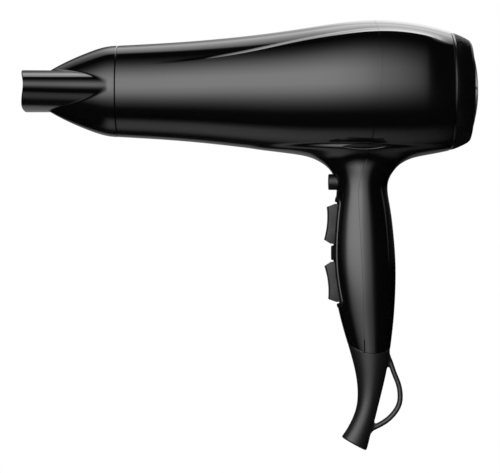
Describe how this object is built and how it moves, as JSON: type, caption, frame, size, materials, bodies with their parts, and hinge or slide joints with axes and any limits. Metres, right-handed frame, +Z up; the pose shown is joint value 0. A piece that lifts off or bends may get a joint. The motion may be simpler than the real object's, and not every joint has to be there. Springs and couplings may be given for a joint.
{
  "type": "hair dryer",
  "caption": "Hand-held hair dryer with a flat turning concentrator, two rocker switches, a cool-shot button, a removable slotted rear filter cap and a cord relief with a hang loop.",
  "frame": {"origin": "middle of the hand grip, on the handle's centre", "axes": "+Z up along the handle towards the barrel; the barrel lies along X and air leaves towards -X; Y across the dryer"},
  "size_m": [0.2709, 0.0826, 0.2579],
  "materials": {
    "gloss_black": "high gloss black, moulded",
    "satin_black": "satin black",
    "key_black": "satin black with a soft grain",
    "nozzle_black": "high gloss black",
    "relief_rubber": "soft matte black",
    "nylon_black": "glass-filled black",
    "nylon_natural": "natural nylon",
    "mica": "pressed mica sheet",
    "nichrome": "drawn resistance wire",
    "steel": "plated steel",
    "bronze": "sintered bronze",
    "ferrite": "ferrite",
    "ceramic": "ceramic base",
    "film_yellow": "film capacitor case",
    "wire_pvc": "PVC insulation",
    "mesh_black": "fine woven mesh"
  },
  "bodies": {
    "housing": {"front_shell": "gloss_black", "rear_shell": "gloss_black", "switch_panel": "satin_black", "rocker_pins": "steel", "speed_switch_body": "nylon_black", "heat_switch_body": "nylon_black", "cool_shot_switch": "nylon_black", "outlet_ring": "nylon_black", "outlet_grille": "nylon_black", "mica_tube": "mica", "heater_boards": "mica", "heating_coils": "nichrome", "thermostat": "ceramic", "thermal_fuse": "steel", "motor_can": "steel", "motor_end_cap": "nylon_black", "motor_bushes": "bronze", "motor_magnets": "ferrite", "fan_duct": "nylon_black", "duct_screws": "steel", "strain_relief": "relief_rubber", "cord_clamp": "nylon_natural", "clamp_screws": "steel", "handle_screws": "steel", "ion_module": "nylon_black", "capacitor": "film_yellow", "wiring": "wire_pvc"},
    "collar": {"nozzle_collar": "nylon_black"},
    "nozzle": {"concentrator_nozzle": "nozzle_black"},
    "rear_cap": {"rear_filter_cap": "gloss_black", "rear_grille": "satin_black", "filter_mesh": "mesh_black"},
    "speed_key": {"speed_rocker": "key_black"},
    "heat_key": {"heat_rocker": "key_black"},
    "cool_shot_key": {"cool_shot_button": "key_black"},
    "rotor": {"fan_impeller": "nylon_natural", "fan_clip": "steel", "motor_shaft": "steel", "motor_rotor": "ferrite"}
  },
  "joints": [
    {"name": "nozzle_pull", "type": "slide", "parent": "housing", "child": "collar", "axis": [-1, 0, 0], "range_m": [0, 0.02]},
    {"name": "nozzle_turn", "type": "hinge", "parent": "collar", "child": "nozzle", "pos_m": [-0.15, 0, 0.098], "axis": [1, 0, 0], "continuous": true},
    {"name": "cap_pull", "type": "slide", "parent": "housing", "child": "rear_cap", "axis": [1, 0, 0], "range_m": [0, 0.02]},
    {"name": "speed_rock", "type": "hinge", "parent": "housing", "child": "speed_key", "pos_m": [-0.01134, 0, 0.01796], "axis": [0, 1, 0], "range_deg": [-6, 6]},
    {"name": "heat_rock", "type": "hinge", "parent": "housing", "child": "heat_key", "pos_m": [-0.01083, 0, -0.01532], "axis": [0, 1, 0], "range_deg": [-6, 6]},
    {"name": "cool_shot_press", "type": "slide", "parent": "housing", "child": "cool_shot_key", "axis": [1, 0, 0], "range_m": [0, 0.0025], "stiffness_N_per_m": 500, "springref_m": -0.001},
    {"name": "rotor_spin", "type": "hinge", "parent": "housing", "child": "rotor", "pos_m": [0, 0, 0.098], "axis": [1, 0, 0], "continuous": true}
  ]
}
